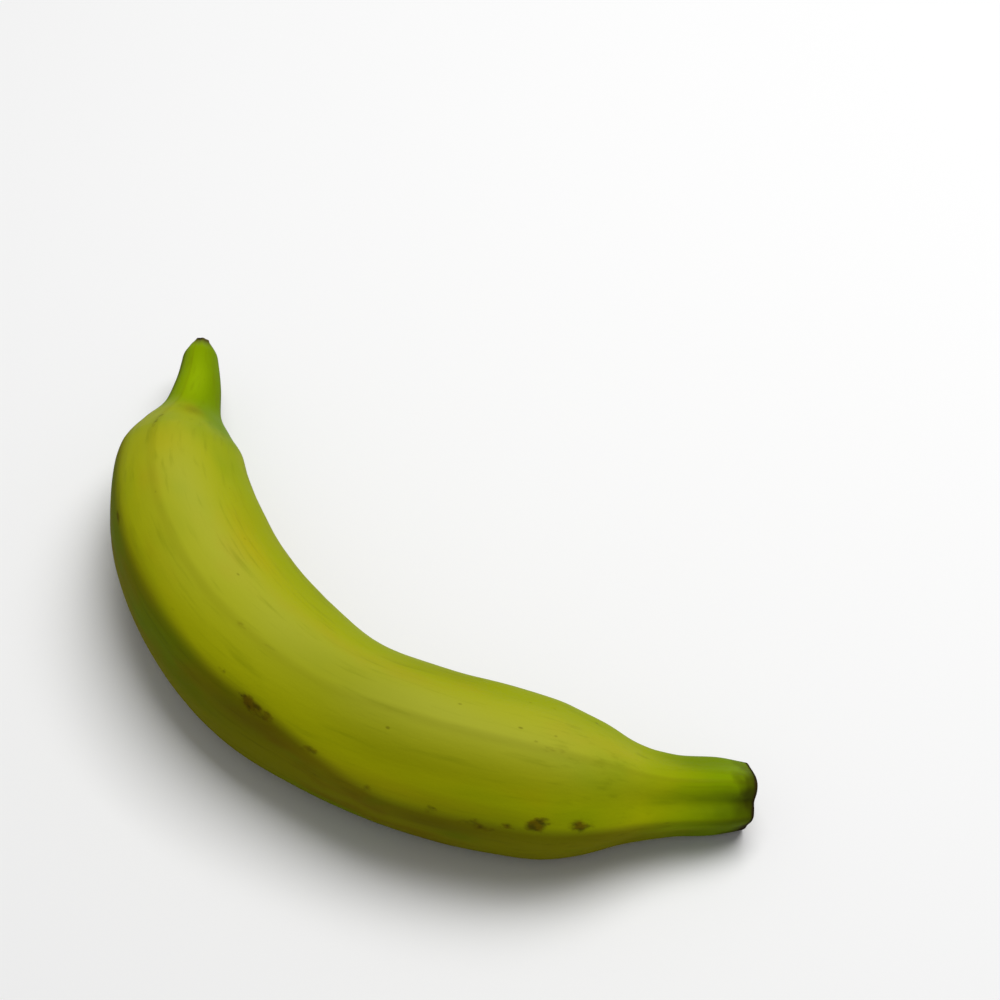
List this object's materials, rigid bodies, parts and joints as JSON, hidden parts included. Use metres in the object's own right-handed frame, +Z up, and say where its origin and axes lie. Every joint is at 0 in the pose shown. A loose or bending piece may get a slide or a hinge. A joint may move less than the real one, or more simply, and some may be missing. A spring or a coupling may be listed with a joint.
{
  "type": "plantain",
  "caption": "Whole plantain as picked: thick bowed fruit with blunt long ridges, a cut stalk at one end and a narrow flower end at the other, lying on its side.",
  "frame": {"origin": "on the ground under the middle of the fruit's box", "axes": "+X towards the cut stalk, -Y towards the outer side of the bow, +Z up from the ground"},
  "size_m": [0.2186, 0.0908, 0.0432],
  "materials": {
    "peel": "satin"
  },
  "bodies": {
    "root": {"plantain": "peel"}
  },
  "joints": []
}
